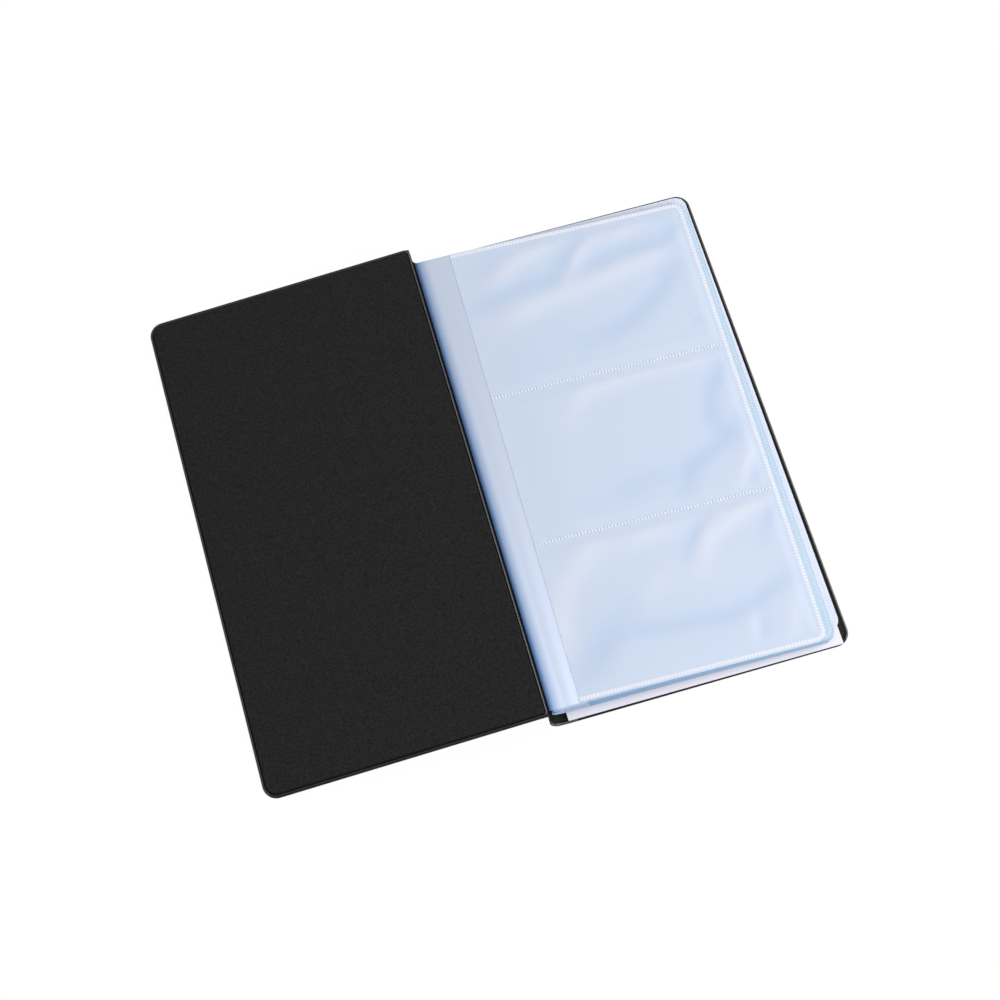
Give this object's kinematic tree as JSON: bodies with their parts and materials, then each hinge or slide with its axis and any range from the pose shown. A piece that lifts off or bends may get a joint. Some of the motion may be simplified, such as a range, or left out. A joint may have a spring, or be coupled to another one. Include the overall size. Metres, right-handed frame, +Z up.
{
  "type": "business card book",
  "caption": "Slim open book with black welded vinyl covers, a soft spine and nested clear film leaves whose side-loading pockets hold business cards.",
  "frame": {"origin": "on the table plane, below the middle of the open book: centred between the two fore edges and between the top and bottom edges", "axes": "+X from the front cover to the back cover, +Y along the spine to the book's top edge, +Z up from the table"},
  "size_m": [0.2263, 0.2016, 0.0133],
  "materials": {
    "cover_vinyl": "fine matt grain, soft black vinyl",
    "lining_vinyl": "fine matt grain, soft black vinyl with a welded bead",
    "board": "plain grey board",
    "backing_card": "smooth uncoated white card",
    "leaf_film": "clear film with a pale blue cast",
    "pocket_film": "clear film with a pale blue cast, soft waves and white weld stitches"
  },
  "bodies": {
    "back_cover": {"back_cover_skin": "cover_vinyl", "back_cover_board": "board", "back_cover_lining": "lining_vinyl", "backing_sheet": "backing_card", "binding_strip": "lining_vinyl", "sheet_1_fold": "leaf_film", "sheet_2_fold": "leaf_film", "sheet_3_fold": "leaf_film", "sheet_4_fold": "leaf_film", "sheet_5_fold": "leaf_film"},
    "spine": {"spine_skin": "cover_vinyl", "spine_lining": "lining_vinyl"},
    "front_cover": {"front_cover_skin": "cover_vinyl", "front_cover_board": "board", "front_cover_lining": "lining_vinyl"},
    "leaf_01": {"leaf_01_gutter": "leaf_film", "leaf_01_film": "leaf_film", "leaf_01_pockets": "pocket_film"},
    "leaf_02": {"leaf_02_gutter": "leaf_film", "leaf_02_film": "leaf_film", "leaf_02_pockets": "pocket_film"},
    "leaf_03": {"leaf_03_gutter": "leaf_film", "leaf_03_film": "leaf_film", "leaf_03_pockets": "pocket_film"},
    "leaf_04": {"leaf_04_gutter": "leaf_film", "leaf_04_film": "leaf_film", "leaf_04_pockets": "pocket_film"},
    "leaf_05": {"leaf_05_gutter": "leaf_film", "leaf_05_film": "leaf_film", "leaf_05_pockets": "pocket_film"},
    "leaf_06": {"leaf_06_gutter": "leaf_film", "leaf_06_film": "leaf_film", "leaf_06_pockets": "pocket_film"},
    "leaf_07": {"leaf_07_gutter": "leaf_film", "leaf_07_film": "leaf_film", "leaf_07_pockets": "pocket_film"},
    "leaf_08": {"leaf_08_gutter": "leaf_film", "leaf_08_film": "leaf_film", "leaf_08_pockets": "pocket_film"},
    "leaf_09": {"leaf_09_gutter": "leaf_film", "leaf_09_film": "leaf_film", "leaf_09_pockets": "pocket_film"},
    "leaf_10": {"leaf_10_gutter": "leaf_film", "leaf_10_film": "leaf_film", "leaf_10_pockets": "pocket_film"}
  },
  "joints": [
    {"name": "front_cover_hinge", "type": "hinge", "parent": "spine", "child": "front_cover", "pos_m": [-0.00565, 0, 0.0114], "axis": [0, -1, 0], "range_deg": [-146, 0]},
    {"name": "spine_fold", "type": "hinge", "parent": "back_cover", "child": "spine", "pos_m": [-0.00065, 0, 0.00025], "axis": [0, -1, 0], "range_deg": [-39, 0], "deforming": ["binding_strip", "sheet_1_fold", "sheet_2_fold", "sheet_3_fold", "sheet_4_fold", "sheet_5_fold"]},
    {"name": "leaf_01_turn", "type": "hinge", "parent": "back_cover", "child": "leaf_01", "pos_m": [0.00025, 0, 0.011], "axis": [0, -1, 0], "range_deg": [0, 178], "deforming": ["leaf_01_gutter"]},
    {"name": "leaf_02_turn", "type": "hinge", "parent": "back_cover", "child": "leaf_02", "pos_m": [0.00025, 0, 0.011], "axis": [0, -1, 0], "range_deg": [0, 178], "deforming": ["leaf_02_gutter"]},
    {"name": "leaf_03_turn", "type": "hinge", "parent": "back_cover", "child": "leaf_03", "pos_m": [0.00025, 0, 0.011], "axis": [0, -1, 0], "range_deg": [0, 178], "deforming": ["leaf_03_gutter"]},
    {"name": "leaf_04_turn", "type": "hinge", "parent": "back_cover", "child": "leaf_04", "pos_m": [0.00025, 0, 0.011], "axis": [0, -1, 0], "range_deg": [0, 178], "deforming": ["leaf_04_gutter"]},
    {"name": "leaf_05_turn", "type": "hinge", "parent": "back_cover", "child": "leaf_05", "pos_m": [0.00025, 0, 0.011], "axis": [0, -1, 0], "range_deg": [0, 178], "deforming": ["leaf_05_gutter"]},
    {"name": "leaf_06_turn", "type": "hinge", "parent": "back_cover", "child": "leaf_06", "pos_m": [0.00025, 0, 0.011], "axis": [0, -1, 0], "range_deg": [0, 178], "deforming": ["leaf_06_gutter"]},
    {"name": "leaf_07_turn", "type": "hinge", "parent": "back_cover", "child": "leaf_07", "pos_m": [0.00025, 0, 0.011], "axis": [0, -1, 0], "range_deg": [0, 178], "deforming": ["leaf_07_gutter"]},
    {"name": "leaf_08_turn", "type": "hinge", "parent": "back_cover", "child": "leaf_08", "pos_m": [0.00025, 0, 0.011], "axis": [0, -1, 0], "range_deg": [0, 178], "deforming": ["leaf_08_gutter"]},
    {"name": "leaf_09_turn", "type": "hinge", "parent": "back_cover", "child": "leaf_09", "pos_m": [0.00025, 0, 0.011], "axis": [0, -1, 0], "range_deg": [0, 178], "deforming": ["leaf_09_gutter"]},
    {"name": "leaf_10_turn", "type": "hinge", "parent": "back_cover", "child": "leaf_10", "pos_m": [0.00025, 0, 0.011], "axis": [0, -1, 0], "range_deg": [0, 178], "deforming": ["leaf_10_gutter"]}
  ],
  "couplings": [
    {"joint": "spine_fold", "follows": "front_cover_hinge", "ratio": 0.2657},
    {"joint": "leaf_02_turn", "follows": "leaf_01_turn", "ratio": 0.988},
    {"joint": "leaf_03_turn", "follows": "leaf_01_turn", "ratio": 0.976},
    {"joint": "leaf_04_turn", "follows": "leaf_01_turn", "ratio": 0.964},
    {"joint": "leaf_05_turn", "follows": "leaf_01_turn", "ratio": 0.952},
    {"joint": "leaf_06_turn", "follows": "leaf_01_turn", "ratio": 0.94},
    {"joint": "leaf_07_turn", "follows": "leaf_01_turn", "ratio": 0.928},
    {"joint": "leaf_08_turn", "follows": "leaf_01_turn", "ratio": 0.916},
    {"joint": "leaf_09_turn", "follows": "leaf_01_turn", "ratio": 0.904},
    {"joint": "leaf_10_turn", "follows": "leaf_01_turn", "ratio": 0.892}
  ]
}
